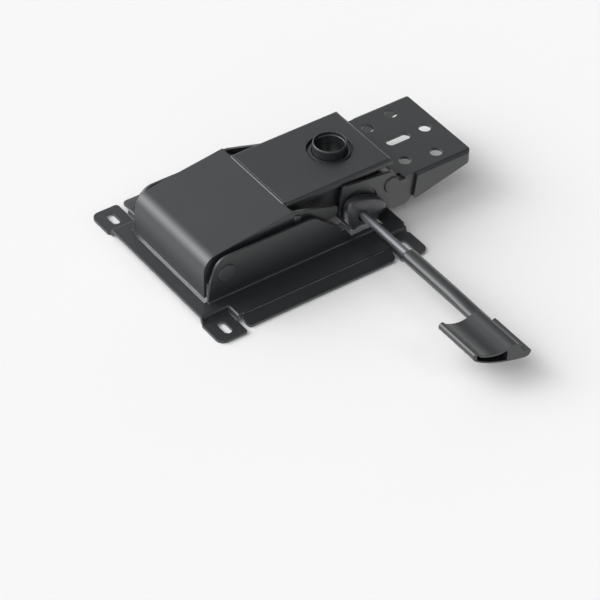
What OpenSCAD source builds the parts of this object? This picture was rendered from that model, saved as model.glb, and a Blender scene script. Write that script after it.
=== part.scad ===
// Office chair tilt mechanism, shown upside down on its seat plate
// X runs to the lever side, Y to the chair's rear, Z out of the gas-lift socket
// The origin is the middle of the four seat-bolt slots on the seat face

/* [Seat plate] */
// Seat-bolt spacing across the chair
seat_bolt_x = 185; // [182:1:192]
// Seat-bolt spacing from front to rear
seat_bolt_y = 200; // [198:1:206]
// Width of a seat-bolt slot
seat_slot_w = 8; // [6.5:0.5:9]
// Length of a seat-bolt slot from end to end
seat_slot_l = 17; // [14:1:20]
// Sheet thickness of the seat plate
seat_sheet = 2.5; // [2:0.5:2.5]
// Height of the frame above the corner tabs
joggle = 5.5; // [4.5:0.5:5.5]
// Edge length of a corner tab
tab_size = 32; // [29:1:34]
// Height of the side walls
wall_top = 53; // [51:1:54]

/* [Housing] */
// Sheet thickness of the housing, channel and back bracket
sheet = 3; // [2.5:0.1:3]
// Half width of the nose
nose_half = 56.5; // [56:0.1:56.8]
// Half width of the top panel
panel_half = 44.6; // [43.5:0.1:44.7]
// Height of the top panel
panel_z = 65; // [64.5:0.5:67]
// Angle of the sloped panel
slope = 7.6; // [7.4:0.1:8]
// Rear edge of the top panel
panel_rear = 119; // [118:0.5:121]
// Distance of the nose's front wall ahead of the origin
nose_front = 98; // [97.5:0.1:98.2]
// Outer radius of the nose
nose_round = 15; // [10:1:18]

/* [Gas-lift socket] */
// Distance of the socket's axis behind the origin
socket_y = 79; // [78:0.5:80]
// Diameter of the socket's mouth
mouth_d = 28.2; // [27.8:0.1:28.6]
// Height of the socket's lip above the top panel
lip_h = 8.5; // [6:0.5:10]
// Height of the socket's lower end
socket_low = 38; // [37:0.5:40]

/* [Pivots] */
// Distance of the front axle ahead of the origin
axle_y = 77; // [76.5:0.1:77.2]
// Height of the front axle
axle_z = 34; // [33.8:0.1:34.2]
// Diameter of the front axle
axle_d = 12; // [10:0.5:12]
// Distance of the back link's hub behind the origin
hub_y = 75; // [74.5:0.1:75.5]
// Height of the back link's hub
hub_z = 28.5; // [28.2:0.1:29]
// Distance of the link pin behind the hub
link_dy = 40; // [39.5:0.1:40.5]
// Height of the link pin above the hub
link_dz = 10.5; // [10:0.1:11]
// Diameter of the link pin
link_d = 10; // [8:0.5:10]
// Seat tilt between upright and fully reclined
tilt_max = 3.6; // [3.4:0.1:3.7]
// Radial play of a turning fit
fit_gap = 0.05; // [0.03:0.01:0.08]

/* [Back bracket] */
// Rear edge of the back bracket
bracket_rear = 205; // [200:1:215]
// Height of the back bracket's web
bracket_z = 42; // [41.5:0.5:42.5]
// Half width of the back bracket
bracket_half = 51.5; // [51.4:0.1:52]
// Diameter of a backrest bolt hole
back_hole_d = 12; // [9:0.5:13]
// Spacing of the front pair of backrest holes
front_pair = 59; // [55:1:64]
// Spacing of the rear pair of backrest holes
rear_pair = 71; // [66:1:76]

/* [Lever] */
// Diameter of the lever's rod
rod_d = 8; // [7:0.5:8]
// Start of the lever's shank
shank_start = 128; // [120:1:135]
// Outer end of the paddle
paddle_end = 291; // [285:1:300]
// Length of the paddle
paddle_l = 62; // [55:1:70]
// Inward push that moves the tilt lock
push = 7; // [5:0.5:7]

/* [Springs] */
// Mean radius of the tilt springs
coil_r = 15; // [14.5:0.1:15]
// Wire diameter of the tilt springs
wire_d = 5; // [4:0.1:5]
// Turns of each tilt spring
coil_turns = 4.5; // [3.5:1:4.5]

/* [Hidden] */
$fn = 64;

steel = "#2b2d30";
bright_steel = "#70747a";
plastic = "#242527";
rubber = "#1b1b1c";

// Corner arcs are drawn with this many chords
arc_n = 6;
// Overlap that joins two shapes of one piece
join = 0.5;

// Seat plate, from the outside in
plate_x = seat_bolt_x / 2 + 16;
plate_y = seat_bolt_y / 2 + 15;
frame_x = seat_bolt_x / 2 - 1.8;
frame_front = plate_y - 2;
tab_x = plate_x - tab_size;
tab_y = plate_y - tab_size + 2.5;
frame_z = joggle + seat_sheet;
// The steep fold from the frame down to a tab
step_run = 1.6;
step_in = step_run + seat_sheet + 3;
// The side flanges; the lever side is bent down further
flange_end = tab_y - 3.5;
flange_w = 12.8;
flange_drop = joggle;
far_flange_w = 15.5;
far_flange_drop = 3;
// The side walls stand clear of the nose
side_gap = 3.5;
wall_x = nose_half + side_gap;
wall_out = wall_x + seat_sheet;
wall_rear = 11;
open_front = 100.3;
open_rear = 98;

// Housing
bend_y = -2;
nose_low = 10.2;
flange_in = nose_half - sheet;
channel_out = panel_half - sheet - 0.1;
channel_in = channel_out - sheet;
web_top = panel_z - sheet;
web_low = web_top - sheet;
recess_r = 22;
// Fold along the top panel's rear edge, and the lip below it
panel_fold = 4;
lip_low = web_top - 2.5;
web_rear = panel_rear - sheet - 0.2;

// Tie rod across the housing and the channel
tie_y = 3;
tie_z = 56;
tie_r = 3;

// Gas-lift socket
mouth_r = mouth_d / 2;
socket_r = mouth_r + 2.9;
lip_r = mouth_r + 2.1;
land_low = web_top;
land_top = panel_z + lip_h - 4;

// Pivots
axle_r = axle_d / 2;
axle_bush_r = axle_r + 2;
link_r = link_d / 2;
link_y = hub_y + link_dy;
link_z = hub_z + link_dz;
hub_r = 10;
hub_bore_r = 7.6;
hub_bush_r = 12;
// Forward run of the link pin in the seat plate's lugs
link_run = 4.8;
// Play of the link pin in those lugs
lug_gap = 0.35;

// Back link
lug_t = 2.8;
lug_in = channel_out + 0.5;
ear_in = lug_in + lug_t + 0.4;
ear_t = 3.2;
ear_out = ear_in + ear_t;
hub_end = ear_out + 1.9;
link_web_top = bracket_z - sheet;
link_web_low = link_web_top - ear_t;

// Stop pins over the side walls, and where they land at full tilt
stop_y = 52.7;
stop_z = 30.7;
stop_r = 1.4;
stop_out = wall_out + 8.5;
stop_land = axle_z + (stop_z - axle_z) * cos(tilt_max) - (stop_y + axle_y) * sin(tilt_max) - stop_r - 0.25;

// Tilt lock
lock_y = 12;
lock_z = 46;
lock_w = 14;
lock_t = 3;
lock_tip = 2 - wall_x;
lock_l = wall_x - 2 + channel_out + 8.5;
fork_x = 16;
fork_t = 2.8;

// Lever
rod_r = rod_d / 2;
rod_in = 12.5;
rocker_x = 33;
sleeve_in = 24;
sleeve_out = 37.8;
paddle_x = paddle_end - paddle_l;

// Height of the sloped panel's top face
function slope_z(y) = panel_z + tan(slope) * (y - bend_y);

// Unit vector
function unit(v) = v / norm(v);

// Corner p between neighbours a and b as an arc of radius r
function corner(p, a, b, r) =
  r == 0 ? [p] :
  let (u = unit(a - p), v = unit(b - p), half = acos(u * v) / 2)
  let (c = p + unit(u + v) * r / sin(half), s = p + u * r / tan(half), e = p + v * r / tan(half))
  let (a0 = atan2(s.y - c.y, s.x - c.x), a1 = atan2(e.y - c.y, e.x - c.x))
  let (sweep = (a1 - a0 + 900) % 360 - 180)
  [for (i = [0 : arc_n]) c + r * [cos(a0 + sweep * i / arc_n), sin(a0 + sweep * i / arc_n)]];

// Outline whose points carry a corner radius as third value
function rounded(pts) = [
  for (i = [0 : len(pts) - 1])
    let (n = len(pts), p = pts[i], a = pts[(i + n - 1) % n], b = pts[(i + 1) % n])
    each corner([p.x, p.y], [a.x, a.y], [b.x, b.y], p.z)
];

// Plate with an outline in Y and Z, from x0 over thickness t
module side_plate(x0, t) translate([x0, 0, 0]) rotate([90, 0, 90]) linear_extrude(t) children();

// Plate with an outline in X and Z, from y0 over length l
module cross_plate(y0, l) translate([0, y0 + l, 0]) rotate([90, 0, 0]) linear_extrude(l) children();

// Round bar across the chair from x0 to x1
module bar(y, z, r, x0, x1) translate([x0, y, z]) rotate([0, 90, 0]) cylinder(r = r, h = x1 - x0);

// Ring across the chair from x0 to x1
module ring(y, z, r_in, r_out, x0, x1) difference() {
  bar(y, z, r_out, x0, x1);
  bar(y, z, r_in, x0 - 1, x1 + 1);
}

// The same piece on both sides
module both() {
  children();
  mirror([1, 0, 0]) children();
}

// The same piece at the four corners
module corners() for (sy = [0, 1]) mirror([0, sy, 0]) both() children();

// Steep step from the frame's level down to the tab's, whose foot is at distance d
module step_profile(d) polygon(rounded([
  [d - step_in - join, joggle, 0], [d - step_in - join, frame_z, 0], [d - step_run, frame_z, 2.4],
  [d, seat_sheet, 0.8], [d + 1, seat_sheet, 0], [d + 1, 0, 0], [d - seat_sheet, 0, 1.5],
  [d - step_run - seat_sheet, joggle, 0.5]]));

module seat_frame() translate([0, 0, joggle]) linear_extrude(seat_sheet) difference() {
  translate([-frame_x, -frame_front]) square([2 * frame_x, frame_front + plate_y]);
  translate([-wall_x, -open_front]) square([2 * wall_x, open_front + open_rear]);
  corners() {
    translate([tab_x - step_in, tab_y - 1]) square(2 * tab_size);
    translate([tab_x - 1, tab_y - step_in]) square(2 * tab_size);
  }
}

module seat_tab() linear_extrude(seat_sheet) polygon(rounded([
  [tab_x, tab_y, 0], [plate_x, tab_y, 3], [plate_x, plate_y, 8], [tab_x, plate_y, 3]]));

module seat_steps() {
  cross_plate(tab_y - 1, frame_front - tab_y + 1) step_profile(tab_x);
  side_plate(tab_x - 1, frame_x - tab_x + 1) step_profile(tab_y);
}

// Side flange of width w, bent down by drop
module seat_flange(w, drop) intersection() {
  x = frame_x + w;
  cross_plate(-flange_end, 2 * flange_end) polygon([
    [frame_x - 1, joggle], [frame_x - 1, frame_z], [frame_x, frame_z],
    [x, frame_z - drop], [x, joggle - drop], [frame_x, joggle]]);
  translate([0, 0, -1]) linear_extrude(frame_z + 2) polygon(rounded([
    [frame_x - 2, -flange_end, 0], [x, -flange_end, 5], [x, flange_end, 5], [frame_x - 2, flange_end, 0]]));
}

module seat_wall() {
  side_plate(wall_x, seat_sheet) polygon(rounded([
    [-97.5, joggle + join, 0], [-95, 30, 8], [-87.5, wall_top, 16], [18, wall_top, 14], [43.5, 31.5, 6],
    [stop_y - 4.2, stop_land + 6, 1.5], [stop_y - 2.6, stop_land, 0.8], [stop_y + 2.2, stop_land, 1.5],
    [61.5, wall_rear, 5], [96, wall_rear, 3], [96, joggle + join, 0]]));
  cross_plate(-97, 192) polygon(rounded([
    [wall_out - join, frame_z - join, 0], [wall_out + 3, frame_z - join, 0], [wall_out + 3, frame_z, 0],
    [wall_out, frame_z, 2.4], [wall_out, frame_z + 3, 0], [wall_out - join, frame_z + 3, 0]]));
}

// Lug that guides the link pin
module seat_lug() side_plate(lug_in, lug_t) polygon(rounded([
  [open_rear - 1, joggle + join, 0], [plate_y - 1, joggle + join, 0], [link_y + 7, link_z - 10, 8],
  [link_y + 7, link_z + 7, 6], [link_y - 13.5, link_z + 7, 6], [link_y - 13.5, 27, 6],
  [open_rear - 1, 15, 6]]));

module seat_slot() {
  half = (seat_slot_l - seat_slot_w) / 2;
  for (s = [-half, half])
    translate([seat_bolt_x / 2 + s, seat_bolt_y / 2, -1])
      cylinder(d = seat_slot_w, h = seat_sheet + 2);
  translate([seat_bolt_x / 2 - half, seat_bolt_y / 2 - seat_slot_w / 2, -1])
    cube([2 * half, seat_slot_w, seat_sheet + 2]);
}

// Slot for the lock's blade, turned by a about the front axle
module lock_slot(a, x0, l, gap)
  translate([0, -axle_y, axle_z]) rotate([-a, 0, 0]) translate([0, axle_y, -axle_z])
    translate([x0, lock_y - lock_w / 2 - gap, lock_z - lock_t / 2 - gap])
      cube([l, lock_w + 2 * gap, lock_t + 2 * gap]);

module seat_plate() color(steel) difference() {
  union() {
    seat_frame();
    corners() seat_tab();
    corners() seat_steps();
    seat_flange(flange_w, flange_drop);
    mirror([1, 0, 0]) seat_flange(far_flange_w, far_flange_drop);
    both() seat_wall();
    both() seat_lug();
  }
  corners() seat_slot();
  bar(-axle_y, axle_z, axle_r, -wall_out - 1, wall_out + 1);
  for (a = [0, tilt_max]) lock_slot(a, -wall_out - 3, 8, 0.3);
  for (run = [0, link_run]) bar(link_y - run, link_z, link_r + lug_gap, -ear_in, ear_in);
  translate([-ear_in, link_y - link_run, link_z - link_r - lug_gap])
    cube([2 * ear_in, link_run, link_d + 2 * lug_gap]);
}

// Bar on which the springs' lower legs rest
bar_r = 4;
bar_y = -40;
bar_z = axle_z - coil_r - wire_d / 2 - bar_r - 0.3;
module spring_bar() color(steel) bar(bar_y, bar_z, bar_r, -wall_x, wall_x);

// Low head of a pin, bevelled round its rim
module pin_head(r) rotate_extrude() polygon([[0, 0], [r, 0], [r, 0.6], [r - 0.8, 1.3], [0, 1.5]]);

module front_axle() color(bright_steel) union() {
  bar(-axle_y, axle_z, axle_r, -wall_out - 4.5, wall_out + join);
  translate([wall_out, -axle_y, axle_z]) rotate([0, 90, 0]) pin_head(axle_r + 3.5);
}

module front_axle_ring() color(bright_steel)
  ring(-axle_y, axle_z, axle_r, axle_r + 4, -wall_out - 2.2, -wall_out);

spool_r = coil_r - wire_d / 2 - 1;
module spring_spools() color(plastic) both() {
  ring(-axle_y, axle_z, axle_r + 0.15, spool_r, 4, 38);
  ring(-axle_y, axle_z, axle_r + 0.15, spool_r + 2.5, 2, 4.5);
}

// Torsion spring: a helix about the front axle with a straight leg at each end
coil_steps = 8;
wire_sides = 6;
coil_x = 8.2;
pitch = wire_d + 0.8;
leg = 43;
start_angle = 90 + slope;
sweep_angle = 360 * coil_turns - slope;
coil_count = ceil(coil_steps * sweep_angle / 360);
function coil_angle(i) = start_angle + sweep_angle * i / coil_count;
function coil_out(a) = [0, cos(a), sin(a)];
function coil_along(a) = [0, -sin(a), cos(a)];
function coil_point(i) =
  [coil_x + pitch * sweep_angle / 360 * i / coil_count, -axle_y, axle_z] + coil_r * coil_out(coil_angle(i));
coil_end_angle = coil_angle(coil_count);
wire_path = concat(
  [coil_point(0) - leg * coil_along(start_angle)],
  [for (i = [0 : coil_count]) coil_point(i)],
  [coil_point(coil_count) + leg * coil_along(coil_end_angle)]);
wire_angles = concat([start_angle], [for (i = [0 : coil_count]) coil_angle(i)], [coil_end_angle]);
wire_points = [
  for (k = [0 : len(wire_path) - 1], j = [0 : wire_sides - 1])
    let (t = 360 * j / wire_sides)
    wire_path[k] + wire_d / 2 * (cos(t) * coil_out(wire_angles[k]) + sin(t) * [1, 0, 0])];
wire_faces = [
  for (k = [0 : len(wire_path) - 2], j = [0 : wire_sides - 1])
    let (n = wire_sides, a = k * n + j, b = k * n + (j + 1) % n)
    each [[a, b, a + n], [b, b + n, a + n]]];
wire_last = (len(wire_path) - 1) * wire_sides;
wire_caps = [
  for (j = [1 : wire_sides - 2])
    each [[0, j + 1, j], [wire_last, wire_last + j, wire_last + j + 1]]];
// Least clear distance between neighbouring turns, from the wire's own points
coil_gap = min([
  for (i = [0 : coil_count], k = [0 : coil_count])
    if (k - i > coil_steps / 2) norm(coil_point(k) - coil_point(i)) - wire_d]);
echo(coil_gap = coil_gap);
module tilt_spring() polyhedron(wire_points, concat(wire_faces, wire_caps), 4);
module tilt_spring_right() color(bright_steel) tilt_spring();
module tilt_spring_left() color(bright_steel) mirror([1, 0, 0]) tilt_spring();

// Bent sheet from the front wall's foot over the nose to the bend
nose_y = -nose_front;
module nose_outline() polygon(rounded([
  [nose_y, nose_low, 0], [nose_y, slope_z(nose_y), nose_round], [bend_y, panel_z, 0],
  [bend_y, panel_z - sheet, 0],
  [nose_y + sheet, slope_z(nose_y + sheet) - sheet / cos(slope), nose_round - sheet],
  [nose_y + sheet, nose_low, 0]]));

// Side flange of the nose with the arm that runs back beside the channel
module flange_outline() polygon(rounded([
  [nose_y + 1, 27, 0], [nose_y + 1, 40, 0], [nose_y + 12, slope_z(nose_y + 12) - 1, 6],
  [bend_y - 1, panel_z - 1, 0], [4, panel_z - 2, 3], [16, 59.5, 10], [47, 50, 4], [50, 42, 5],
  [38, 37, 8], [0, 40, 14], [-50, 20, 12], [-86, 20, 6], [-91, 23, 3]]));

// Top panel with a down-turned lip along both long edges
module panel_outline() polygon(rounded([
  [-panel_half, panel_z, 3], [panel_half, panel_z, 3], [panel_half, web_top - 3, 0],
  [channel_out + 0.2, web_top - 3, 0], [channel_out + 0.2, web_top, 0],
  [-channel_out - 0.2, web_top, 0], [-channel_out - 0.2, web_top - 3, 0], [-panel_half, web_top - 3, 0]]));

// Lip along the top panel's rear edge, between the long lips
module panel_lip() translate([-channel_out - 1, panel_rear - sheet, lip_low])
  cube([2 * channel_out + 2, sheet, web_top - lip_low + join]);

// What the rear fold's radius takes off the panel's square edge
module fold_cut() side_plate(-panel_half - 1, 2 * panel_half + 2)
  translate([panel_rear - panel_fold, panel_z - panel_fold]) difference() {
    square(panel_fold + 1);
    circle(r = panel_fold);
  }

module housing() color(steel) difference() {
  union() {
    side_plate(-nose_half, 2 * nose_half) nose_outline();
    cross_plate(bend_y - join, panel_rear - bend_y + join) panel_outline();
    both() side_plate(flange_in, sheet) flange_outline();
    panel_lip();
  }
  fold_cut();
  translate([0, socket_y, 0]) cylinder(r = recess_r, h = panel_z + 1);
  bar(-axle_y, axle_z, axle_bush_r, -nose_half - 1, nose_half + 1);
  bar(tie_y, tie_z, tie_r, -nose_half - 1, nose_half + 1);
  both() lock_slot(0, -nose_half - 1, sheet + 2, 0.4);
}

// Inner channel that ties the nose, socket and pivots together
module channel_outline() polygon(rounded([
  [-88, 22, 6], [-88, slope_z(-88) - sheet - 4, 5], [-80, slope_z(-80) - sheet - 0.2, 0],
  [bend_y, web_top, 0], [web_rear, web_top, 0], [web_rear, 58, 2], [102, 57.4, 4], [102, pad_low, 3],
  [135, pad_low, 2], [135, 24, 2], [97, 22, 6], [92, 13, 6], [58, 13, 6], [50, 24, 8], [-40, 24, 10],
  [-60, 22, 6]]));

module chassis_channel() color(steel) difference() {
  union() {
    both() side_plate(channel_in, sheet) channel_outline();
    translate([-channel_out, 16, web_low]) cube([2 * channel_out, web_rear - 16, sheet]);
  }
  translate([0, socket_y, 0]) cylinder(r = socket_r, h = panel_z);
  bar(-axle_y, axle_z, axle_r + 1, -channel_out - 1, channel_out + 1);
  bar(hub_y, hub_z, hub_r, -channel_out - 1, channel_out + 1);
  bar(tie_y, tie_z, tie_r, -channel_out - 1, channel_out + 1);
  bar(stop_y, stop_z, stop_r, -channel_out - 1, channel_out + 1);
  both() lock_slot(0, -channel_out - 1, sheet + 2, 0.4);
}

// Welded tube: stepped mouth, straight land, then a one in twenty taper
module taper_socket() color(steel) translate([0, socket_y, 0]) {
  top = panel_z + lip_h;
  taper_end = mouth_r - 0.1 - (land_low - socket_low - 2) / 40;
  rotate_extrude() polygon(rounded([
    [socket_r, socket_low, 0], [socket_r, web_top, 0], [lip_r, web_top + 0.8, 0], [lip_r, top, 1.2],
    [mouth_r + 0.8, top, 0], [mouth_r + 0.8, land_top + 0.8, 0], [mouth_r, land_top, 0],
    [mouth_r, land_low, 0], [mouth_r - 0.1, land_low - 0.1, 0], [taper_end, socket_low + 2, 0],
    [taper_end - 2, socket_low + 2, 0], [taper_end - 2, socket_low, 0]]));
}

module socket_collar() color(steel) translate([0, socket_y, web_top]) difference() {
  cylinder(r = socket_r + 2.6, h = 1.6);
  translate([0, 0, -1]) cylinder(r = socket_r + 0.05, h = 4);
}

// Flanged bushes between the front axle and the housing's flanges
module front_bushes() color(plastic) both() {
  ring(-axle_y, axle_z, axle_r + fit_gap, axle_bush_r, flange_in, nose_half);
  ring(-axle_y, axle_z, axle_r + fit_gap, axle_bush_r + 3, nose_half, wall_x - 0.3);
}

module tie_rod() color(bright_steel) union() {
  bar(tie_y, tie_z, tie_r, -nose_half, nose_half);
  both() translate([nose_half, tie_y, tie_z]) rotate([0, 90, 0])
    cylinder(r1 = tie_r + 1.2, r2 = tie_r + 0.4, h = 1.6);
}

// Pins that stop the tilt on the side walls
module stop_pins() color(bright_steel) both() bar(stop_y, stop_z, stop_r, channel_in, stop_out);

module pivot_hubs() color(steel) both()
  ring(hub_y, hub_z, hub_bore_r, hub_r, channel_in, hub_end);

// Cap on the side without the lever
module hub_cap() color(plastic) mirror([1, 0, 0]) translate([0, hub_y, hub_z]) rotate([0, 90, 0])
  rotate_extrude() polygon(rounded([
    [0, channel_out + 2, 0], [spigot_r, channel_out + 2, 0], [spigot_r, hub_end + 0.2, 0],
    [14, hub_end + 0.2, 0], [14, hub_end + 3, 2], [0, hub_end + 3.5, 0]]));

// Moulded hub round the lever: a domed stadium that droops to the rear, with a tail in front
boss_in = ear_out + 0.4;
boss_out = boss_in + 10.2;
boss_r = 14.2;
boss_l = 14.5;
boss_z = hub_z - 3;
boss_droop = 8;
boss_bore_r = rod_r + 0.5;
spigot_r = hub_bore_r - 0.05;
// Drop of the lifted lever's rod at the hub's outer face
boss_slot = 2.3;
// Room over the seat plate's rear strip at full tilt
boss_clear_y = open_rear - 0.8;
boss_clear_z = frame_z + 11.6;
module boss_half() polygon(rounded([
  [0, boss_in, 0], [boss_r, boss_in, 0], [boss_r, boss_out - 2, 7], [boss_r / 2, boss_out, 14],
  [0, boss_out, 0]]));
module boss_dome() translate([0, hub_y, boss_z]) rotate([-boss_droop, 0, 0]) {
  for (d = [0, boss_l])
    translate([0, d, 0]) rotate([0, 90, 0]) rotate_extrude() boss_half();
  for (s = [0, 1])
    mirror([0, 0, s]) rotate([0, -90, -90]) linear_extrude(boss_l) boss_half();
}
module lever_boss() color(plastic) difference() {
  union() {
    boss_dome();
    bar(hub_y, hub_z, spigot_r, channel_out + 1, boss_in + 3);
    translate([boss_in + 1, hub_y - 10.5, boss_z - boss_r]) cube([6, 7, boss_r]);
  }
  ring(hub_y, hub_z, spigot_r, hub_r + 0.4, boss_in - 1, hub_end + 0.3);
  for (d = [0, boss_slot]) bar(hub_y, hub_z - d, boss_bore_r, channel_out, boss_out + 1);
  translate([boss_in - 1, boss_clear_y, 0]) cube([boss_out, boss_l, boss_clear_z]);
}

// Rubber stops on the channel's tail, under the back link's web
pad_y = 128.5;
pad_low = 30;
module stop_pads() color(rubber) both()
  translate([channel_in - 1.5, pad_y, pad_low]) cube([sheet + 3, 6, link_web_low - pad_low]);

// Bracket that carries the release rocker's pins
rocker_half = 8.2;
rocker_pin_r = 2.5;
module rocker_bracket() color(steel) difference() {
  union() {
    translate([channel_in - 2.3, hub_y - 12, hub_z - 9]) cube([2.3, 24, 18]);
    for (s = [-1, 1])
      translate([rocker_x - 5, hub_y + s * (rocker_half + 1.5) - 1.5, hub_z - 7])
        cube([channel_in - rocker_x + 5, 3, 14]);
  }
  bar(hub_y, hub_z, 7.9, rocker_x - 10, channel_in + 1);
  translate([rocker_x, hub_y - 20, hub_z]) rotate([-90, 0, 0]) cylinder(r = rocker_pin_r + fit_gap, h = 40);
}

// Ear of the back link, beside the channel
module ear_outline() polygon(rounded([
  [60, panel_z - 5, 5], [117.5, 53.6, 6], [124, link_web_top, 3], [166, link_web_top, 0], [166, 30, 4],
  [140, 16, 6], [131.5, 9, 4], [118, 9, 4], [110, 16, 6], [70, 14, 8], [57, 20, 8], [57, 46, 6]]));

module back_link() color(steel) difference() {
  union() {
    both() side_plate(ear_in, ear_t) ear_outline();
    translate([-ear_in - join, 128, link_web_low]) cube([2 * ear_in + 2 * join, 9, ear_t]);
  }
  bar(hub_y, hub_z, hub_bush_r, -ear_out - 1, ear_out + 1);
  bar(link_y, link_z, link_r, -ear_out - 1, ear_out + 1);
  both() difference() {
    bar(hub_y + 3, hub_z + 1, 21, ear_out - 1.4, ear_out + 1);
    bar(hub_y, hub_z, hub_bush_r + 3, ear_out - 2, ear_out + 2);
  }
}

// Backrest bolt holes: two pairs, a centre hole and a lengthwise slot
pair_front_y = 144;
pair_rear_y = 175.5;
centre_hole_y = 189;
slot_y = 158;
slot_half = 8;
slot_r = 5;
module back_holes() {
  h = 3 * sheet;
  z = link_web_low;
  for (s = [-1, 1]) {
    translate([s * front_pair / 2, pair_front_y, z]) cylinder(d = back_hole_d, h = h);
    translate([s * rear_pair / 2, pair_rear_y, z]) cylinder(d = back_hole_d, h = h);
    translate([0, slot_y + s * slot_half, z]) cylinder(r = slot_r, h = h);
  }
  translate([0, centre_hole_y, z]) cylinder(d = back_hole_d, h = h);
  translate([-slot_r, slot_y - slot_half, z]) cube([2 * slot_r, 2 * slot_half, h]);
}

// Front edges of the bracket's web: beside the seat plate's lugs, between them, and of its sides
web_front = 129;
tongue_front = 125;
side_front = 143;
fold_r = 4;
module bracket_web() translate([0, 0, link_web_top]) linear_extrude(sheet) polygon(rounded([
  [-ear_out, web_front, 3], [-ear_out, side_front + 1, 0], [ear_out, side_front + 1, 0],
  [ear_out, web_front, 3],
  [lug_in - 0.8, web_front, 0], [lug_in - 0.8, tongue_front, 2], [0.8 - lug_in, tongue_front, 2],
  [0.8 - lug_in, web_front, 0]]));

// Folded U from the front, cut to its outline from the side and from above
module bracket_u() intersection() {
  cross_plate(side_front - 6, bracket_rear - side_front + 6) polygon(rounded([
    [-bracket_half, 0, 0], [-bracket_half, bracket_z, fold_r], [bracket_half, bracket_z, fold_r],
    [bracket_half, 0, 0], [ear_out + 0.1, 0, 0], [ear_out + 0.1, link_web_top, 0],
    [-ear_out - 0.1, link_web_top, 0], [-ear_out - 0.1, 0, 0]]));
  side_plate(-bracket_half - 1, 2 * bracket_half + 2) polygon(rounded([
    [side_front, bracket_z + 1, 0], [side_front - 4.5, 12, 3], [bracket_rear - 1, 28.5, 5],
    [bracket_rear, bracket_z - 4, 0], [bracket_rear, bracket_z + 1, 0]]));
  linear_extrude(panel_z) polygon(rounded([
    [-bracket_half - 1, side_front - 8, 0], [-bracket_half, bracket_rear, 5],
    [bracket_half, bracket_rear, 5], [bracket_half + 1, side_front - 8, 0]]));
}

module back_bracket() color(steel) difference() {
  union() {
    bracket_web();
    bracket_u();
  }
  back_holes();
}

// Flanged bushes on which the ears turn
module hub_bushes() color(plastic) both() {
  ring(hub_y, hub_z, hub_r + fit_gap, hub_bush_r, ear_in - join, ear_out);
  ring(hub_y, hub_z, hub_r + fit_gap, hub_bush_r + 2.5, channel_out + 0.3, ear_in);
}

module link_pin() color(bright_steel) union() {
  bar(link_y, link_z, link_r, -ear_out - 3.5, ear_out + join);
  translate([ear_out, link_y, link_z]) rotate([0, 90, 0]) pin_head(link_r + 3.5);
}

module link_pin_ring() color(bright_steel)
  ring(link_y, link_z, link_r, link_r + 3.5, -ear_out - 2, -ear_out);

// Rocker that lifts with the lever and presses the gas-lift's button
module release_rocker() color(plastic) difference() {
  union() {
    bar(hub_y, hub_z, 7.2, sleeve_in, sleeve_out);
    cross_plate(hub_y - 6, 12) polygon(rounded([
      [sleeve_in, hub_z - 5, 0], [30, hub_z - 5, 0], [30, hub_z - 14, 3], [27, hub_z - 16.6, 3],
      [-8, hub_z - 16.6, 2], [-8, hub_z - 12.3, 2], [21, hub_z - 12.3, 3], [sleeve_in, hub_z - 9, 2]]));
    translate([0, socket_y, hub_z - 14]) cylinder(r = 6, h = 5);
  }
  bar(hub_y, hub_z, rod_r + fit_gap, sleeve_in - 1, sleeve_out + 1);
  translate([rocker_x, hub_y - 20, hub_z]) rotate([-90, 0, 0]) cylinder(r = rocker_pin_r, h = 40);
}

module rocker_pins() color(bright_steel) for (s = [0, 1])
  translate([rocker_x, hub_y, hub_z]) mirror([0, s, 0])
    translate([0, rod_r + 0.8, 0]) rotate([-90, 0, 0]) cylinder(r = rocker_pin_r, h = 8);

module lever_rod() color(bright_steel) bar(hub_y, hub_z, rod_r, rod_in, shank_start + 30);

// Clips on the rod on both sides of the lock's fork
clip_gap = 1.1;
clip_t = 1.7;
clip_r = rod_r + 2.4;
module rod_clips() color(bright_steel) {
  ring(hub_y, hub_z, rod_r, clip_r, fork_x - clip_gap - clip_t, fork_x - clip_gap);
  ring(hub_y, hub_z, rod_r, clip_r, fork_x + fork_t + clip_gap, fork_x + fork_t + clip_gap + clip_t);
}

// Plastic grip: flat shank and a dished paddle with a hooked front rail
shank_w = 15;
shank_h = 10;
module shank_outline() polygon(rounded([
  [hub_y - shank_w / 2, hub_z - shank_h / 2, 3], [hub_y - shank_w / 2, hub_z + shank_h / 2, 3.5],
  [hub_y + shank_w / 2, hub_z + shank_h / 2, 3.5], [hub_y + shank_w / 2, hub_z - shank_h / 2, 3]]));
module paddle_outline() polygon(rounded([
  [hub_y - 41, hub_z + 12, 1.6], [hub_y - 37, hub_z + 13.5, 1.6], [hub_y - 29, hub_z + 6, 10],
  [hub_y - 12, hub_z + 1.5, 20], [hub_y + 6, hub_z + 2.5, 2], [hub_y + 9, hub_z - 5, 1.5],
  [hub_y + 18, hub_z - 7.5, 0.8], [hub_y + 18, hub_z - 10, 0.8], [hub_y + 2, hub_z - 14.5, 20],
  [hub_y - 18, hub_z - 8.5, 25], [hub_y - 36, hub_z + 3, 12], [hub_y - 42, hub_z + 9, 2]]));
module paddle_hollow() polygon(rounded([
  [hub_y - 36, hub_z + 8.5, 0.3], [hub_y - 29, hub_z + 3.2, 6], [hub_y - 12, hub_z - 0.8, 1],
  [hub_y - 12, hub_z - 8, 1], [hub_y - 18, hub_z - 6, 8], [hub_y - 33, hub_z + 4, 4]]));
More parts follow.
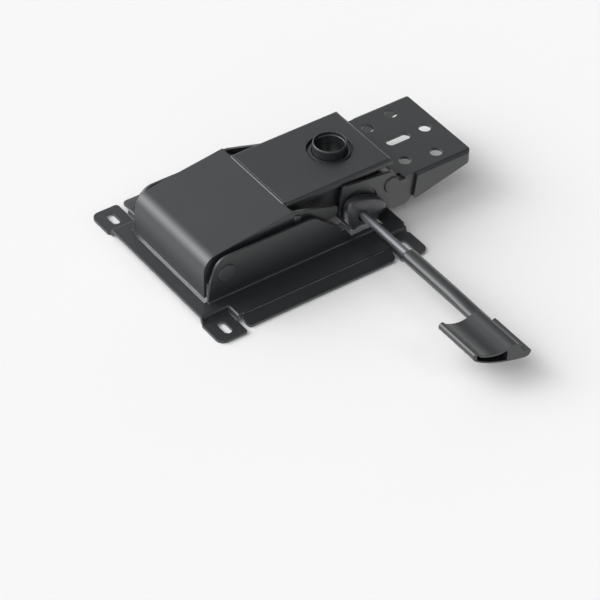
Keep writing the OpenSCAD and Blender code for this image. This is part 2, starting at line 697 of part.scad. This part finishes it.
// Grip from above: the shank flares into the paddle, whose ends run aslant
module grip_plan() polygon(rounded([
  [shank_start, hub_y - shank_w / 2, 2], [paddle_x - 3, hub_y - shank_w / 2, 9],
  [paddle_x - 8, hub_y - 42.5, 5], [paddle_end - 10, hub_y - 42.5, 5], [paddle_end, hub_y + 18.5, 5],
  [paddle_x + 18, hub_y + 18.5, 4],
  [paddle_x + 9, hub_y + shank_w / 2, 9], [shank_start, hub_y + shank_w / 2, 2]]));
module lever_handle() color(plastic) difference() {
  intersection() {
    union() {
      side_plate(shank_start, paddle_x + 6 - shank_start) shank_outline();
      side_plate(paddle_x - 9, paddle_l + 9) paddle_outline();
    }
    linear_extrude(panel_z) grip_plan();
  }
  side_plate(paddle_end - 30, 31) paddle_hollow();
  bar(hub_y, hub_z, rod_r, shank_start - 1, shank_start + 30);
}

// Lock: a blade across the housing and a fork that follows the rod
module lock_plate() color(steel) union() {
  lock_slot(0, lock_tip, lock_l, 0);
  translate([fork_x - 5, lock_y, lock_z - lock_t / 2]) cube([13, 44, lock_t]);
  side_plate(fork_x, fork_t) polygon(rounded([
    [44, lock_z, 0], [55, lock_z, 0], [55, 34, 3], [hub_y - rod_r - 0.4, 34, 0],
    [hub_y - rod_r - 0.4, hub_z - rod_r - 0.5, 0], [hub_y + rod_r + 0.4, hub_z - rod_r - 0.5, 0],
    [hub_y + rod_r + 0.4, 34, 0], [hub_y + 9, 34, 1], [hub_y + 9, 20, 3], [50, 20, 5], [44, 26, 3]]));
}

seat_plate();
spring_bar();
front_axle();
front_axle_ring();
spring_spools();
tilt_spring_left();
tilt_spring_right();
housing();
chassis_channel();
taper_socket();
socket_collar();
front_bushes();
tie_rod();
stop_pins();
pivot_hubs();
hub_cap();
lever_boss();
stop_pads();
rocker_bracket();
back_link();
back_bracket();
hub_bushes();
link_pin();
link_pin_ring();
release_rocker();
rocker_pins();
lever_rod();
rod_clips();
lever_handle();
lock_plate();
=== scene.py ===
import math

import bmesh
import bpy
import numpy as np
from mathutils import Matrix, Vector


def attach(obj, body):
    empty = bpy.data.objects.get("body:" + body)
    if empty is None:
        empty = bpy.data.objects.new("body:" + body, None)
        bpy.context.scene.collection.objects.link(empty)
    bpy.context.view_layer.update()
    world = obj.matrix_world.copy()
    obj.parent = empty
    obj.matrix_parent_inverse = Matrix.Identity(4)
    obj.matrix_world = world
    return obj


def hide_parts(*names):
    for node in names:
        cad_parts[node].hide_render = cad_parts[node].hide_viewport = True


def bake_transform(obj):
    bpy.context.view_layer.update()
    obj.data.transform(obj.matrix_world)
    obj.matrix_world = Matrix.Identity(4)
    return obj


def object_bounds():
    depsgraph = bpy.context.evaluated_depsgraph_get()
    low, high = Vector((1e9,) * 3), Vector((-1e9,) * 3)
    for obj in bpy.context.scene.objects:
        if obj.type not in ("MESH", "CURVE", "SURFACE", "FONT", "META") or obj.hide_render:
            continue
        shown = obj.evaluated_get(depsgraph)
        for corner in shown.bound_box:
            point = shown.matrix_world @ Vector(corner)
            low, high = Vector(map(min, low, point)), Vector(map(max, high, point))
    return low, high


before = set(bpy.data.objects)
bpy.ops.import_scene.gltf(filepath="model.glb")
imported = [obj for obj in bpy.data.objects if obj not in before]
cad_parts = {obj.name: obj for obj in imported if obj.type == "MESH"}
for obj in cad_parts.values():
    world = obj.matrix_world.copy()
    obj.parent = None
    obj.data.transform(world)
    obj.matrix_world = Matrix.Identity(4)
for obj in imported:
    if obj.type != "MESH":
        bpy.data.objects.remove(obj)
cad_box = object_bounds()

# Seat plate
# Blanked and pressed from 2.5 mm steel sheet: joggled corner tabs for the seat's bolts, two upright side walls.
# It is powder coated black, and the coat rounds its sheared edges a little.
MM = 0.001


def linear(hex_colour, alpha=1.0):
    """An sRGB hex colour as linear values: the sRGB curve undone channel by channel."""
    srgb = np.array([int(hex_colour[i:i + 2], 16) for i in (1, 3, 5)]) / 255
    return (*np.where(srgb <= 0.04045, srgb / 12.92, ((srgb + 0.055) / 1.055) ** 2.4), alpha)


def add(tree, kind, settings=None, **links):
    """Adds a node: settings are its properties, links its inputs as values or as other nodes' sockets."""
    node = tree.nodes.new(kind)
    for name, value in (settings or {}).items():
        setattr(node, name, value)
    for name, value in links.items():
        socket = node.inputs[int(name[1:])] if name[1:].isdigit() else node.inputs[name.replace("_", " ")]
        if isinstance(value, bpy.types.NodeSocket):
            tree.links.new(value, socket)
        else:
            socket.default_value = value
    return node


def make_finish(name, dark, light, rough, grain, depth, metallic=0.0, stretch=(1, 1, 1), edge=0.3,
                ior=1.65):
    """A material that drifts between two near tones and two near roughnesses over 40 mm of surface.
    Its bump has cells grain mm wide and depth mm deep, drawn out along an axis where stretch is below 1.
    Light runs round its edges as over a radius of edge mm; ior is set for all but metals."""
    material = bpy.data.materials.new(name)
    material.use_nodes = True
    tree = material.node_tree
    shader = tree.nodes["Principled BSDF"]
    shader.inputs["Metallic"].default_value = metallic
    if not metallic:
        shader.inputs["IOR"].default_value = ior
    place = add(tree, "ShaderNodeTexCoord").outputs["Object"]
    drift = add(tree, "ShaderNodeTexNoise", Vector=place, Scale=1 / (40 * MM), Detail=3.0).outputs["Fac"]
    tone = add(tree, "ShaderNodeMix", {"data_type": "RGBA"}, _0=drift, _6=linear(dark), _7=linear(light))
    gloss = add(tree, "ShaderNodeMapRange", Value=drift, To_Min=rough[0], To_Max=rough[1])
    drawn = add(tree, "ShaderNodeVectorMath", {"operation": "MULTIPLY"}, _0=place, _1=stretch)
    cells = add(tree, "ShaderNodeTexNoise", Vector=drawn.outputs["Vector"], Scale=1 / (grain * MM), Detail=2.0)
    soft = add(tree, "ShaderNodeBevel", {"samples": 6}, Radius=edge * MM)
    bump = add(tree, "ShaderNodeBump", Distance=depth * MM, Height=cells.outputs["Fac"], Normal=soft.outputs["Normal"])
    tree.links.new(tone.outputs[2], shader.inputs["Base Color"])
    tree.links.new(gloss.outputs["Result"], shader.inputs["Roughness"])
    tree.links.new(bump.outputs["Normal"], shader.inputs["Normal"])
    return material


def join_faces():
    """Loose faces merged at their corners, shaded smooth except over edges sharper than 19 degrees."""
    tree = bpy.data.node_groups.new("joined faces", "GeometryNodeTree")
    tree.interface.new_socket("Geometry", in_out="INPUT", socket_type="NodeSocketGeometry")
    tree.interface.new_socket("Geometry", in_out="OUTPUT", socket_type="NodeSocketGeometry")
    source = add(tree, "NodeGroupInput").outputs[0]
    plain = add(tree, "GeometryNodeRemoveAttribute", Geometry=source, Name="custom_normal").outputs[0]
    merged = add(tree, "GeometryNodeMergeByDistance", Geometry=plain, Distance=0.002 * MM).outputs[0]
    faces = add(tree, "GeometryNodeSetShadeSmooth", {"domain": "FACE"}, Geometry=merged).outputs[0]
    angle = add(tree, "GeometryNodeInputMeshEdgeAngle").outputs["Unsigned Angle"]
    soft = add(tree, "FunctionNodeCompare", {"operation": "LESS_THAN"}, A=angle, B=math.radians(19)).outputs[0]
    edges = add(tree, "GeometryNodeSetShadeSmooth", {"domain": "EDGE"}, Geometry=faces, Shade_Smooth=soft)
    add(tree, "NodeGroupOutput", Geometry=edges.outputs[0])
    return tree


joined_faces = join_faces()


def round_off(piece, edge):
    """Joins the faces, makes flat ones whole, rounds sharp edges over edge mm and evens the shading."""
    joined = piece.modifiers.new("joined faces", "NODES")
    joined.node_group = joined_faces
    whole = piece.modifiers.new("whole flats", "DECIMATE")
    whole.decimate_type = "DISSOLVE"
    whole.angle_limit = math.radians(0.3)
    bevel = piece.modifiers.new("rounded edges", "BEVEL")
    bevel.width = edge * MM
    bevel.segments = 3
    bevel.limit_method = "ANGLE"
    bevel.angle_limit = math.radians(24)
    bevel.harden_normals = True
    even = piece.modifiers.new("even shading", "WEIGHTED_NORMAL")
    even.keep_sharp = True


def dress(material, edge, *nodes):
    """Carried-over CAD nodes: their material and their rounded edges."""
    for node in nodes:
        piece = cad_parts[node]
        piece.data.materials.clear()
        piece.data.materials.append(material)
        round_off(piece, edge)


# half gloss with the fine orange peel of fused powder, which softens what it mirrors
coat = make_finish("black powder coat", "#212325", "#282a2d", (0.34, 0.42), grain=2.5, depth=0.03, edge=0.8)
dress(coat, 0.35, "seat_plate")


def shell(name, material, *grids):
    """A mesh piece of grids of points in mm, each (rows, columns, 3): every cell between neighbours is a quad.
    Seams and poles, where points repeat, are merged, and the faces are turned outwards."""
    points, quads, count = [], [], 0
    for grid in grids:
        rows, columns, _ = grid.shape
        index = count + np.arange(rows * columns).reshape(rows, columns)
        corners = [index[:-1, :-1], index[1:, :-1], index[1:, 1:], index[:-1, 1:]]
        quads.append(np.stack(corners, axis=-1).reshape(-1, 4))
        points.append(grid.reshape(-1, 3) * MM)
        count += rows * columns
    mesh = bpy.data.meshes.new(name)
    mesh.from_pydata(np.concatenate(points).tolist(), [], np.concatenate(quads).tolist())
    whole = bmesh.new()
    whole.from_mesh(mesh)
    bmesh.ops.remove_doubles(whole, verts=whole.verts, dist=0.004 * MM)
    bmesh.ops.recalc_face_normals(whole, faces=whole.faces)
    whole.to_mesh(mesh)
    whole.free()
    mesh.shade_smooth()
    mesh.set_sharp_from_angle(angle=math.radians(40))
    mesh.materials.append(material)
    piece = bpy.data.objects.new(name, mesh)
    bpy.context.scene.collection.objects.link(piece)
    return piece


def fold_line(start, end, half_width, height):
    """P(s, t) = A + s (B - A) + h(s) (w cos t S + b sin t Z), with h falling to 0 at both ends:
    the rounded ridge that the press leaves along a fold, half sunk in the sheet."""
    start, end = np.array(start), np.array(end)
    s = np.linspace(0, 1, 60)[:, None, None]
    turn = np.linspace(0, 2 * math.pi, 17)[None, :, None]
    rise = np.array([0, 0, 1])
    side = np.cross((end - start) / np.linalg.norm(end - start), rise)
    swell = (1 - (2 * s - 1)**24)**0.5
    return start + s * (end - start) + swell * (half_width * np.cos(turn) * side + height * np.sin(turn) * rise)


# over a fold the coat flows out thinner and glossier, so the ridge shows as a light line
fold_coat = make_finish("black powder coat on a fold", "#212325", "#282a2d", (0.2, 0.26), grain=2.5,
                        depth=0.01)
flange_fold_x, flange_fold_half, flange_fold_z = 91.2, 81, 7.7
for hand, side in (("left", -1), ("right", 1)):
    ridge = shell(f"flange_fold_{hand}", fold_coat,
                  fold_line((flange_fold_x * side, -flange_fold_half, flange_fold_z),
                            (flange_fold_x * side, flange_fold_half, flange_fold_z), 1.5, 1.0))
    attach(ridge, "seat")

# Front axle
# A turned pin across the nose, headed on the lever's side and held by a ring on the other.
# The springs' plastic spools sit on it, and the springs' lower legs rest on the bar welded behind it.

# dull grey-black with faint turning marks round the pins
steel = make_finish("blackened steel", "#252628", "#313235", (0.36, 0.48), grain=0.6, depth=0.02)
dress(steel, 0.25, "front_axle", "spring_bar")
# greyer than the coat and a true metal, so small rings and clips catch the light
plated = make_finish("black zinc plate", "#73757a", "#818488", (0.28, 0.38), grain=0.8, depth=0.01, metallic=1.0)
dress(plated, 0.2, "front_axle_ring")
# the bushes' acetal is smoother and a shade lighter than the coat
acetal = make_finish("dark grey acetal", "#37383a", "#3f4044", (0.4, 0.5), grain=3.0, depth=0.02)
dress(acetal, 0.3, "spring_spools")

# Tilt springs
# Two torsion springs of 5 mm wire, one of each hand, wound round the spools.
# The lower leg of each lies on the seat plate's bar, and the upper leg presses under the housing's slope.
coil_axis = np.array([8.2, -77.0, 34.0])
coil_radius, coil_pitch, wire_radius, leg_length = 15.0, 5.8, 2.5, 43.0
first_angle, last_angle = math.radians(97.6), math.radians(1710)


def spring_wire(side):
    """P(s, t) = C(s) + r (cos t N(s) + sin t B(s)): C is a helix with a straight leg at each end,
    N points from the axle to the wire and B = C' x N; side is 1 or -1 for the spring's hand."""
    turn = np.linspace(first_angle, last_angle, 260)
    legs = np.linspace(leg_length, 0, 12, endpoint=False)
    angle = np.concatenate([np.full(12, first_angle), turn, np.full(12, last_angle)])
    advance = coil_pitch * (angle - first_angle) / (2 * math.pi)
    along = np.concatenate([-legs, np.zeros(260), legs[::-1]])
    outward = np.stack([0 * angle, np.cos(angle), np.sin(angle)], axis=1)
    forward = np.stack([0 * angle, -np.sin(angle), np.cos(angle)], axis=1)
    path = coil_axis + coil_radius * outward + along[:, None] * forward
    path[:, 0] += advance
    tangent = np.gradient(path, axis=0)
    cross = np.cross(tangent / np.linalg.norm(tangent, axis=1)[:, None], outward)
    round_wire = np.linspace(0, 2 * math.pi, 21)
    ring = np.cos(round_wire)[:, None] * outward[:, None, :] + np.sin(round_wire)[:, None] * cross[:, None, :]
    taper = np.ones(len(path))
    taper[[0, -1]] = 0.82
    tube = path[:, None, :] + wire_radius * taper[:, None, None] * ring
    ends = [np.repeat(path[k][None, None, :], 21, axis=1) for k in (0, -1)]
    return np.concatenate([ends[0], tube, ends[1]]) * np.array([side, 1, 1])


# oil-blackened spring wire: dark metal with a long soft highlight on every turn
wire = make_finish("oil-black spring wire", "#5a5b5f", "#67686d", (0.32, 0.42), grain=1.0, depth=0.01, metallic=1.0)
for hand, side in (("left", -1), ("right", 1)):
    spring = shell(f"spring_{hand}", wire, spring_wire(side))
    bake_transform(spring)
    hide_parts(f"tilt_spring_{hand}")

# Housing
# One bent 3 mm sheet: nose, sloped panel, top panel and side flanges, with the channel welded inside it.
# A riveted tie rod ties flanges and channel together, and two stop pins stand out of the channel.
dress(coat, 1.0, "housing")
dress(coat, 0.4, "chassis_channel")
dress(steel, 0.25, "tie_rod", "stop_pins")
dress(acetal, 0.3, "front_bushes")
crease_half, crease_y, crease_z = 44.2, -1.3, 64.9
crease = shell("panel_crease", fold_coat,
               fold_line((-crease_half, crease_y, crease_z), (crease_half, crease_y, crease_z), 1.8, 0.9))
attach(crease, "housing")

# Gas-lift socket
# A turned steel tube with a tapered bore that grips the gas lift's cone.
# It is welded into the channel inside a ring of its own, and coated with the housing.
dress(coat, 0.5, "taper_socket")
dress(coat, 0.3, "socket_collar")

# Pivots of the back link
# Steel hubs pressed through the channel, with acetal bushes on which the ears turn, and a cap on the far side.
# Two rubber pads on the channel's tail stop the back link in the upright position.

# moulded nylon: satin, with the faint grain of a sparked tool
nylon = make_finish("moulded black nylon", "#343539", "#3d3e43", (0.34, 0.42), grain=1.2, depth=0.015)
# rubber is matt and takes no mirror image
rubber = make_finish("black rubber", "#1d1d1d", "#242424", (0.7, 0.8), grain=1.5, depth=0.05, ior=1.52)
dress(steel, 0.3, "pivot_hubs")
dress(acetal, 0.3, "hub_bushes")
dress(nylon, 0.5, "hub_cap")
dress(rubber, 0.5, "stop_pads")

# Back link and back bracket
# The link is a U of 3.2 mm sheet whose ears turn on the hubs; the outer bracket is folded round it and welded.
# The link pin joins the ears to the slotted lugs of the seat plate.
dress(coat, 0.5, "back_link")
dress(coat, 0.8, "back_bracket")
dress(steel, 0.25, "link_pin")
dress(plated, 0.2, "link_pin_ring")

# Gas-lift release
# A moulded nylon rocker that turns on two pins in a steel bracket, which is fixed inside the channel.
# The lifted lever turns it, and it presses the gas lift's button.
dress(steel, 0.3, "rocker_bracket")
dress(nylon, 0.3, "release_rocker")
dress(plated, 0.2, "rocker_pins")

# Lever hub
# A moulded nylon cap over the hub on the lever's side: a steep wall, a rounded rim and a slightly domed face.
# It has a slot for the rod and a skirt in front.
hub = np.array([75.0, 28.5])
cap_base, wall_top, rim_top, face_top, rim_share = 48.8, 53.5, 57.1, 58.9, 0.16
spigot_end, spigot_radius, groove_end, groove_radius = 42.6, 7.5, 50.6, 10.4
slot_radius, slot_drop = 4.5, 2.3


def smooth_curve(points, count, closed=False):
    """count points on the Catmull-Rom curve through the given ones, in equal steps of its parameter."""
    points = np.asarray(points, float)
    ends = [points[-1:], points, points[:2]] if closed else [points[:1], points, points[-1:]]
    padded = np.concatenate(ends)
    spans = len(padded) - 3
    place = np.linspace(0, spans, count)
    span = np.minimum(place.astype(int), spans - 1)
    t = (place - span)[:, None]
    a, b, c, d = (padded[span + k] for k in range(4))
    return 0.5 * (2 * b + (c - a) * t + (2 * a - 5 * b + 4 * c - d) * t**2 + (3 * b - a - 3 * c + d) * t**3)


def hub_cap_shape():
    """Closed loops from the base up the wall, over the rim and the face to the rod's slot, and back through the
    hub's groove: P(k, t) = (x_k, O(t) + s_k (H(t) - O(t))), with outline O and slot H both seen along the rod."""
    turn = np.linspace(0, 2 * math.pi, 129)
    outline = smooth_curve([
        (60.3, 23), (59.5, 31), (59.8, 38), (63, 43.2), (70, 44.8), (80, 43.2), (90, 39.6), (98, 34.4), (103, 28),
        (103.6, 23), (100, 20.3), (96.9, 17.6), (95.2, 12.6), (90, 10), (82, 10.2), (75, 11), (69.5, 10.4), (65.4, 11),
        (62.5, 16)], 1025, closed=True)
    bearing = np.unwrap(np.arctan2(outline[:, 1] - hub[1], outline[:, 0] - hub[0]))
    order = np.argsort(bearing)
    start = bearing[order][0]
    outer = np.stack([np.interp(turn, bearing[order] - start, outline[order, k]) for k in (0, 1)], axis=1)
    radial = np.stack([np.cos(turn + start), np.sin(turn + start)], axis=1)
    slot = hub + slot_radius * radial
    slot[:, 1] = np.where(radial[:, 1] < 0, slot[:, 1] - slot_drop, slot[:, 1])
    bend = np.linspace(0, math.pi / 2, 9)
    face = np.linspace(0, 1, 17)[1:]
    height = np.concatenate([[cap_base], wall_top + (rim_top - wall_top) * np.sin(bend),
                             rim_top + (face_top - rim_top) * (1 - (1 - face)**2)])
    inward = np.concatenate([[0], rim_share * (1 - np.cos(bend)), rim_share + (1 - rim_share) * face])
    loops = [(x, outer + s * (slot - outer)) for x, s in zip(height, inward)]
    spigot, groove = hub + spigot_radius * radial, hub + groove_radius * radial
    loops += [(spigot_end, slot), (spigot_end, spigot), (groove_end, spigot), (groove_end, groove),
              (cap_base, groove), (cap_base, outer)]
    return np.stack([np.column_stack([np.full(len(loop), x), loop]) for x, loop in loops])


boss = shell("lever_hub_cap", nylon, hub_cap_shape())
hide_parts("lever_boss")
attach(boss, "housing")

# Lever
# A bare plated rod through the hub, with the lock's two clips on its inner end.
# The grip is moulded round its outer end: a flat shank and a dished paddle with a beaded front and a hollow end.
# fine drawing lines along the dull plated rod spread its highlight into one soft streak
rod_finish = make_finish("drawn plated steel", "#787a7e", "#828488", (0.5, 0.58), grain=0.5, depth=0.01,
                         metallic=1.0, stretch=(0.05, 1, 1))
dress(rod_finish, 0.3, "lever_rod")
dress(plated, 0.2, "rod_clips")
# the grip is moulded glossier and darker than the hub, so its dish and crest show as soft bands
satin = make_finish("satin black nylon", "#212325", "#282a2d", (0.3, 0.38), grain=1.2, depth=0.015)
# heights of the paddle's section over the rod's axis, from its front bead to its rear edge
paddle_top = [(-40.4, 5), (-39.9, 7.1), (-38.6, 8.5), (-36.9, 8.9), (-35.2, 8.3), (-33.8, 6.6), (-32.3, 5.3),
              (-27, 3.3), (-20.6, 1.9), (-14.2, 1.9), (-7.7, 3.4), (-2, 5.2), (2, 5.4), (4.8, 4.2), (6.5, 1), (8.2, -3),
              (9.6, -4.9), (11.5, -5.2), (14.2, -4.5), (16.1, -5.4), (16.9, -7.6)]
paddle_bottom = [(-40.4, 5), (-39.2, 1.8), (-36, -0.9), (-26.6, -5.8), (-13.4, -9.8), (-0.3, -12.1), (8, -12.9),
                 (12.8, -12.6), (15.6, -10.9), (16.9, -7.6)]
hollow_left, hollow_right, hollow_depth, top_skin, bottom_skin = -36.5, -6.5, 28.0, 2.3, 1.6
shank_start, shank_end, shank_half_width, shank_half_height = 128.0, 240.0, 7.5, 6.2
bore_radius, bore_end = 4.02, 158.1
paddle_front, paddle_half = -40.4, 28.65
across = paddle_front + paddle_half * (1 - np.cos(np.linspace(0, math.pi, 181)))
upper, lower = (np.interp(across, *smooth_curve(points, 800).T) for points in (paddle_top, paddle_bottom))


def ease(value):
    """Smooth step from 0 to 1: 3 v^2 - 2 v^3."""
    value = np.clip(value, 0, 1)
    return value**2 * (3 - 2 * value)


# both ends of the paddle run aslant, and its inner end steps back behind the shank
inner_start, outer_start, slant_start = 227, 276.5, 42
inner_end = inner_start + 2 * ease((across + slant_start) / 26) + 8 * ease((across - 4) / 6)
outer_end = outer_start + (across + slant_start) / 6


def grip_points(x, u, w):
    """Points of the grip from x and the section's u and w, which are measured from the rod's axis."""
    return np.stack(np.broadcast_arrays(x, hub[0] + u, hub[1] + w), axis=-1)


def paddle():
    """Grids of the paddle: P(s, u) = (x_in(u) + s (x_out(u) - x_in(u)), u, w(u)) for its top and bottom,
    both ends closed between them, and the hollow let into the outer end."""
    s = np.linspace(0, 1, 40)[:, None]
    length = inner_end + s * (outer_end - inner_end)
    closing = np.linspace(0, 1, 3)[:, None]
    open_here = (across > hollow_left) & (across < hollow_right)
    middle = (upper + lower) / 2
    ceiling = np.where(open_here, upper - top_skin, middle)
    bottom = np.where(open_here, lower + bottom_skin, middle)
    rim = np.flatnonzero(open_here)
    rim = np.concatenate([rim[:1] - 1, rim, rim[-1:] + 1])
    u = np.concatenate([across[rim], across[rim[::-1]]])
    loop = np.concatenate([ceiling[rim], bottom[rim[::-1]]])
    depth = np.linspace(0, hollow_depth, 12)[:, None]
    mouth = np.concatenate([outer_end[rim], outer_end[rim[::-1]]])
    back = outer_end[rim] - hollow_depth
    return [grip_points(length, across, upper), grip_points(length, across, lower),
            grip_points(inner_end, across, lower + closing * (upper - lower)),
            grip_points(outer_end, across, ceiling + closing * (upper - ceiling)),
            grip_points(outer_end, across, lower + closing * (bottom - lower)),
            grip_points(mouth - depth, u, loop),
            grip_points(back, across[rim], bottom[rim] + closing * (ceiling[rim] - bottom[rim]))]


def shank():
    """P(k, t) = (x_k, a_k |cos t|^0.9, b_k |sin t|^0.9) with signs kept: an oval bar whose top sinks into
    the paddle's crest, from the bottom of the rod's bore, out of its blunt inner end, to a pole inside the paddle."""
    turn = np.linspace(0, 2 * math.pi, 65)
    cosine, sine = np.cos(turn), np.sin(turn)
    oval = np.stack([np.sign(cosine) * np.abs(cosine)**0.9, np.sign(sine) * np.abs(sine)**0.9])
    x = np.concatenate([shank_start + np.array([0, 0.2, 0.9, 2]), np.linspace(shank_start + 6, shank_end, 40)])
    size = np.concatenate([[0.8, 0.9, 0.97, 1], np.ones(40)])[:, None]
    sink = shank_half_height - 1.6 * ease((x - 190) / 45)[:, None]
    tall = np.where(oval[1] > 0, sink, shank_half_height) * size
    bar = grip_points(x[:, None], shank_half_width * size * oval[0], tall * oval[1])
    hole = grip_points(np.full((1, 65), shank_start), bore_radius * cosine, bore_radius * sine)
    pole = grip_points(np.full((1, 65), shank_end), 0 * turn, 0 * turn - 2)
    bore_bottom = grip_points(np.full((1, 65), bore_end), 0 * turn, 0 * turn)
    return np.concatenate([bore_bottom, hole + np.array([bore_end - shank_start, 0, 0]), hole, bar, pole])


grip = shell("lever_grip", satin, shank(), *paddle())
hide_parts("lever_handle")
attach(grip, "lever")

# Tilt lock
# A stamped steel blade that slides across the housing in slots of the channel and of the housing's flanges.
# The clips on the lever's rod push it into a slot of the seat plate's far wall, which stops the tilt.
dress(steel, 0.3, "lock_plate")

# Studio
# A pale floor that keeps the shadow, in a white room that is brighter in front of the nose.
# In the coat's gloss the floor shows plain white, without the shadow.
floor_half, mirrored_floor = 4.0, 1.0
floor = bpy.data.meshes.new("floor")
floor.from_pydata([(-floor_half, -floor_half, 0), (floor_half, -floor_half, 0), (floor_half, floor_half, 0),
                   (-floor_half, floor_half, 0)], [], [(0, 1, 2, 3)])
floor = bpy.data.objects.new("floor", floor)
floor.location.z = cad_box[0].z - 0.2 * MM
bpy.context.scene.collection.objects.link(floor)
white = bpy.data.materials.new("white floor")
white.use_nodes = True
shader = white.node_tree.nodes["Principled BSDF"]
shader.inputs["Base Color"].default_value = (0.9, 0.9, 0.9, 1)
shader.inputs["Roughness"].default_value = 1.0
shader.inputs["Specular IOR Level"].default_value = 0.0
tree = white.node_tree
mirrored = add(tree, "ShaderNodeLightPath").outputs["Is Glossy Ray"]
clean = add(tree, "ShaderNodeEmission", Color=(1, 1, 1, 1), Strength=mirrored_floor)
seen = add(tree, "ShaderNodeMixShader", _0=mirrored, _1=shader.outputs[0], _2=clean.outputs[0])
tree.links.new(seen.outputs[0], tree.nodes["Material Output"].inputs["Surface"])
floor.data.materials.append(white)

room_light = 0.85
front_light = (-0.6, -1.17, -0.33)
# each softbox: its direction, how narrow it is and how strong
softboxes = [((-0.62, -0.56, 0.55), 18.0, 5.3), ((-0.62, 0.765, 0.15), 60.0, 2.3), ((0.63, 0.42, 0.65), 90.0, 5.3)]
world = bpy.data.worlds.new("white room")
bpy.context.scene.world = world
world.use_nodes = True
tree = world.node_tree
outlook = add(tree, "ShaderNodeTexCoord").outputs["Generated"]
toward = add(tree, "ShaderNodeVectorMath", {"operation": "DOT_PRODUCT"}, _0=outlook, _1=front_light)
glow = add(tree, "ShaderNodeMath", {"operation": "ADD"}, _0=toward.outputs["Value"], _1=room_light)
lit = add(tree, "ShaderNodeMath", {"operation": "MAXIMUM"}, _0=glow.outputs[0], _1=0.0)
for direction, focus, strength in softboxes:
    aim = add(tree, "ShaderNodeVectorMath", {"operation": "DOT_PRODUCT"}, _0=outlook, _1=direction)
    near = add(tree, "ShaderNodeMath", {"operation": "MAXIMUM"}, _0=aim.outputs["Value"], _1=0.0)
    spot = add(tree, "ShaderNodeMath", {"operation": "POWER"}, _0=near.outputs[0], _1=focus)
    lit = add(tree, "ShaderNodeMath", {"operation": "MULTIPLY_ADD"}, _0=spot.outputs[0], _1=strength,
              _2=lit.outputs[0])
tree.links.new(lit.outputs[0], tree.nodes["Background"].inputs["Strength"])
tree.nodes["Background"].inputs["Color"].default_value = (1, 1, 1, 1)

# Camera
# A long lens from the lever's side and the front, a little off level, as the photograph is taken.
view_azimuth = math.radians(54.58)
view_elevation = math.radians(40.80)
view_roll = math.radians(0.65)
view_from = Vector((1.7910, -1.2263, 1.7940))
photo_pixels = 600
focal_pixels = 3054.47
back = Vector((math.sin(view_azimuth) * math.cos(view_elevation),
               -math.cos(view_azimuth) * math.cos(view_elevation), math.sin(view_elevation)))
level = Vector((math.cos(view_azimuth), math.sin(view_azimuth), 0))
rise = back.cross(level)
right = math.cos(view_roll) * level + math.sin(view_roll) * rise
up = back.cross(right)
camera = bpy.data.objects.new("camera", bpy.data.cameras.new("camera"))
camera.data.sensor_width = 36
camera.data.lens = camera.data.sensor_width * focal_pixels / photo_pixels
camera.data.clip_end = 20
camera.matrix_world = Matrix.Translation(view_from) @ Matrix((right, up, back)).transposed().to_4x4()
bpy.context.scene.collection.objects.link(camera)
bpy.context.scene.camera = camera
bpy.context.scene.view_settings.view_transform = "Standard"
